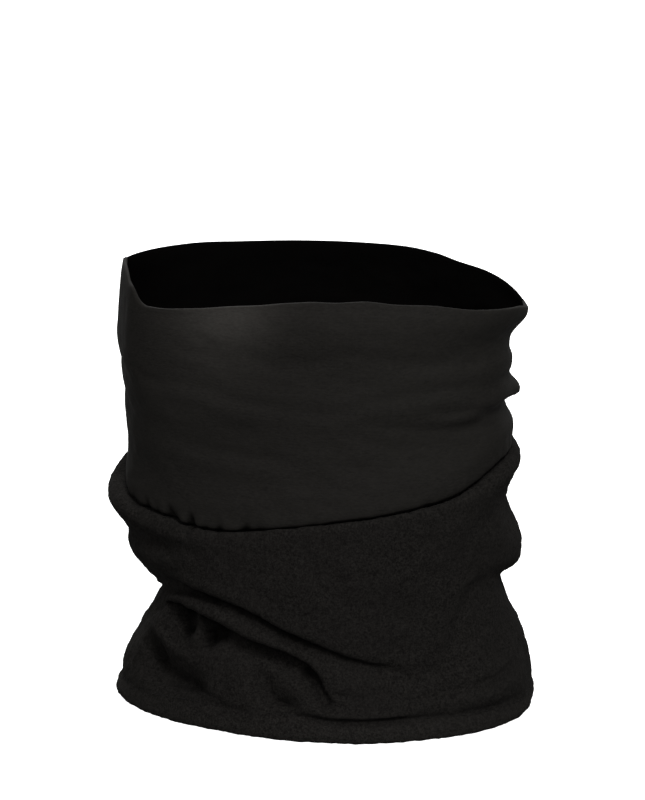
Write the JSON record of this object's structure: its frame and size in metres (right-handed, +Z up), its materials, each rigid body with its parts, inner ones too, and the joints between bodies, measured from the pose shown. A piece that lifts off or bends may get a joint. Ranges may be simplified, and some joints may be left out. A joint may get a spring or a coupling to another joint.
{
  "type": "neck gaiter",
  "caption": "Tube-shaped neck warmer for skiing: a doubled stretch-jersey collar sewn to a fleece tube with a turned-up hem, standing with its slack buckled into a fold.",
  "frame": {"origin": "centre of the hem ring, on the plane that the hem stands on", "axes": "+Z up through the tube to the folded rim, +X to the wearer's left when the front of the gaiter faces -Y, +Y to the back, where the vertical seam is"},
  "size_m": [0.1878, 0.1451, 0.197],
  "materials": {
    "fleece": "black polyester fleece with a matte brushed pile, warm neutral black",
    "jersey": "black brushed stretch jersey, fine knit, soft low sheen",
    "thread": "black spun polyester sewing thread",
    "label": "blank off-white woven satin ribbon"
  },
  "bodies": {
    "hem_section": {"fleece_lower": "fleece", "hem_needle_thread": "thread", "hem_bobbin_thread": "thread", "side_seam_thread_lower": "thread", "hem_bartack": "thread", "label_stitch": "thread"},
    "collar_section": {"fleece_upper": "fleece", "jersey_collar": "jersey", "join_needle_thread": "thread", "join_overlock_thread": "thread", "side_seam_thread_upper": "thread", "join_bartack": "thread"},
    "care_label": {"care_label": "label"}
  },
  "joints": [
    {"name": "collar_pull", "type": "slide", "parent": "hem_section", "child": "collar_section", "axis": [0, 0, 1], "range_m": [-0.015, 0.025]},
    {"name": "label_turn", "type": "hinge", "parent": "hem_section", "child": "care_label", "pos_m": [0.0026, 0.0541, 0.037], "axis": [0, -0.3355, 0.942], "range_deg": [-170, 0]}
  ]
}
